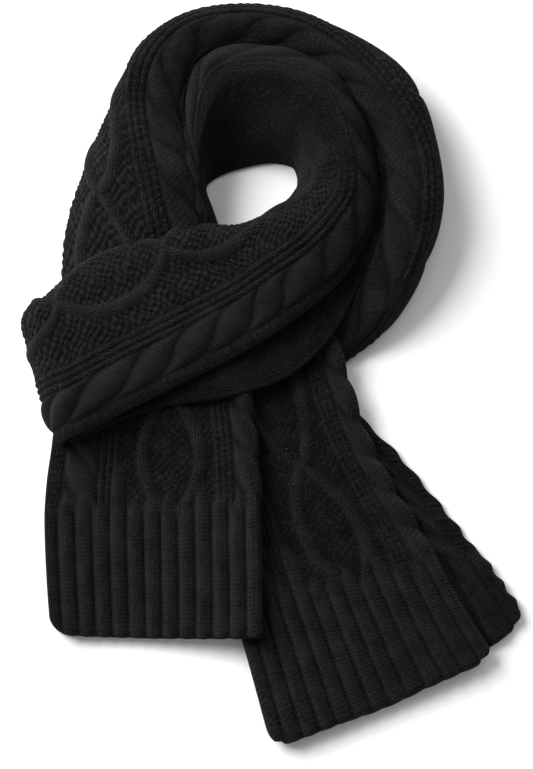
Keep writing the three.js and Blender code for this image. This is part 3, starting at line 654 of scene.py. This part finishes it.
def inner_stretch(name, rows, s, with_nose):
    """A stretch of the inner turn: front layer over the crest, floor, back layer, free edges outward."""
    e, c, b = (rows[:, k : k + 3] for k in (0, 3, 9))
    out = unit((e - c) * FLAT)
    count = 150
    steep = ease(s, 290, 350)[:, None]  # past the right side the wall drops at once, into the shaded hollow
    grid, total = zip(*(spread(q, count) for q in over_and_down(rows, steep)))
    grid, total = np.array(grid), np.array(total)
    for _ in range(16):
        grid[:, 1:-1] += 0.25 * steep[:, None] * (grid[:, 2:] + grid[:, :-2] - 2 * grid[:, 1:-1])
    run = np.linspace(0, 1, count) * total[:, None]
    w = HALF_WIDTH - run - 6 * (1 - np.exp(-run / 8))
    under = b * FLAT - out * 14
    foot = grid[:, -1]
    floor = foot[:, None] + (under - foot)[:, None] * np.array([0.25, 0.5, 0.75])[:, None]
    rise = curve(under, under + UP * b[:, 2:3] * 0.75 - out * 3, b - UP * LAYER - out * 1.5, 7)
    tuck = e - out * 14
    tuck[:, 2] = np.minimum(e[:, 2] - LAYER - 1.2, b[:, 2] + 2)
    strip_count = 34
    strip = b[:, None] + (tuck - b)[:, None] * np.linspace(0, 1, strip_count)[:, None]
    bend = np.radians([150, 110, 70, 35])
    round_edge = np.cos(bend)[:, None] * UP + np.sin(bend)[:, None] * out[:, None]
    lip = (b - UP * LAYER / 2)[:, None] + LAYER / 2 * round_edge
    whole = np.concatenate([grid, floor, rise, lip, strip], 1)
    far = np.linalg.norm(strip - b[:, None], axis=2)
    hidden = floor.shape[1] + rise.shape[1] + lip.shape[1]
    w = np.concatenate([w, w[:, -1:] - np.arange(1, hidden + 1) * 4.0, HALF_WIDTH - far], 1)
    S = np.repeat(s[:, None], whole.shape[1], 1)
    if with_nose:
        radius = np.maximum(whole[0, :, 2] - NOSE_HEIGHT, 0)
        lateral = unit((whole[0, count - 12] - whole[0, 0]) * FLAT)
        ahead = np.array([lateral[1], -lateral[0], 0])
        ahead *= -np.sign(ahead @ (c[4] - c[0]))
        base = np.concatenate([whole[0, :, :2], np.full((whole.shape[1], 1), NOSE_HEIGHT)], 1)
        turns = np.radians(np.linspace(180, 0, NOSE_STEPS, endpoint=False))
        swept = [
            base + ahead * (radius * math.sin(a))[:, None] + UP * (radius * math.cos(a))[:, None]
            for a in turns
        ]
        back = [swept[0] - ahead * d for d in NOSE_TAIL]
        whole = np.concatenate([np.stack(back), np.stack(swept), whole])
        before = -np.concatenate([np.array(NOSE_TAIL) + NOSE_RADIUS * math.pi, NOSE_RADIUS * turns])
        S = np.concatenate([np.repeat(before[:, None], whole.shape[1], 1), S])
        w = np.concatenate([np.repeat(w[:1], len(before), 0), w])
    n = normals_of(whole)
    turned = np.sign(n[-20:, 40:70, 2].mean())
    n *= turned
    h, u, v, moss = knit(w, S, turned, 9, 80, 19)
    edge_out, edge_normal = unit(whole[:, 0] - whole[:, 5]), n[:, 3].copy()
    panel = 1 - ease(w, 108, 116)
    h *= 1 - ease(S, 180, 270) * (0.45 + 0.4 * panel)  # stretched smooth round the back of the neck
    moss *= 1 - 0.6 * ease(S, 205, 300)
    shown = np.zeros(whole.shape[1])
    shown[:count] = 1
    shown[-strip_count:] = 0.3 * ease(far.mean(0), 0, 2)
    low = 1 - ease(whole[..., 2], 12, 50)
    above = ease(whole[..., 2], 0.2, 4) * shown * (1 - 0.95 * ease(S, 100, 170) * low)
    if with_nose:
        turned_up = np.concatenate([np.zeros(len(NOSE_TAIL)), 1 - turns / math.pi])[:, None]
        above[: len(before)] *= (radius > 1.5) * np.clip(0.25 + turned_up, 0, 1)
    swell = 1.0 * drift(whole) * above * (np.arange(whole.shape[1]) < count)
    whole = whole + n * (h * above + swell)[..., None]
    cloth = Cloth()
    painted_hollow_shade = ease(S, 290, 350) * (1 - ease(w, 112, 124))  # painted shade inside the opening, where the cloth lies in deep shadow
    index = cloth.add(whole, u, v, moss, np.clip(h / 2.2, 0, 1) * above * (1 - painted_hollow_shade) - 0.5 * painted_hollow_shade)
    cloth.skin(index, turned)
    rolled(cloth, index[:, 0], whole[:, 0], edge_normal, edge_out, u[:, 0], v[:, 0])
    made = cloth.piece(name)
    made.data.materials.append(black_wool)
    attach(made, "root")
    return made


rows, s = rows_along(INNER)
split = int(np.argmin(np.linalg.norm(rows[:, 3:6] - np.array(INNER[12][3:6]), axis=1)))
inner_turn = inner_stretch("inner_turn_knit", rows[: split + 1], s[: split + 1], True)
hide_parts("inner_turn")

# ---- Inner turn, its run down under the band ----
# The same cloth past the top of the loop, where it sinks between the outer turn and the neck opening
# and goes under the band, to come out as the right tail.
inner_end = inner_stretch("inner_turn_end_knit", rows[split:], s[split:], False)
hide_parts("inner_turn_end")

# ---- Table, light and camera ----
# A plain white table top under wide soft lamps, the largest above and to the left, and the camera high
# in front of the scarf, as in the photograph.
bpy.ops.object.select_all(action="DESELECT")
bpy.ops.mesh.primitive_plane_add(size=6, location=(0, 0, 0))
table = bpy.context.object
table.name = "table_top"
paper = bpy.data.materials.new("white_paper")
paper.use_nodes = True
paper.node_tree.nodes["Principled BSDF"].inputs["Base Color"].default_value = (0.92, 0.92, 0.92, 1)
paper.node_tree.nodes["Principled BSDF"].inputs["Roughness"].default_value = 0.9
table.data.materials.append(paper)

sky = bpy.data.worlds.new("studio")
sky.use_nodes = True
sky.node_tree.nodes["Background"].inputs["Color"].default_value = (1, 1, 1, 1)
sky.node_tree.nodes["Background"].inputs["Strength"].default_value = 0.34
bpy.context.scene.world = sky
bpy.context.scene.view_settings.view_transform = "Standard"

for name, place, turn_to, size, power in (
    ("lamp_over_left", (-1.05, 0.62, 1.2), (0, 0, 0), 1.1, 50),
    ("lamp_above", (0.3, 0.6, 1.6), (0, 0, 0), 1.0, 4),
):
    bpy.ops.object.light_add(type="AREA", location=place)
    lamp = bpy.context.object
    lamp.name, lamp.data.shape, lamp.data.size, lamp.data.energy = name, "SQUARE", size, power
    way = np.array(turn_to) - np.array(place)
    heading = math.atan2(way[1], way[0]) - math.pi / 2
    lamp.rotation_euler = (math.atan2(math.hypot(way[0], way[1]), -way[2]), 0, heading)

bpy.ops.object.camera_add()
camera = bpy.context.object
camera.data.lens, camera.data.sensor_width = 85, 36
tilt, distance = math.radians(76), 1.2347
camera.location = (0.000268, -0.012519 - distance * math.cos(tilt), distance * math.sin(tilt))
camera.rotation_euler = (math.pi / 2 - tilt, 0, 0)
bpy.context.scene.camera = camera
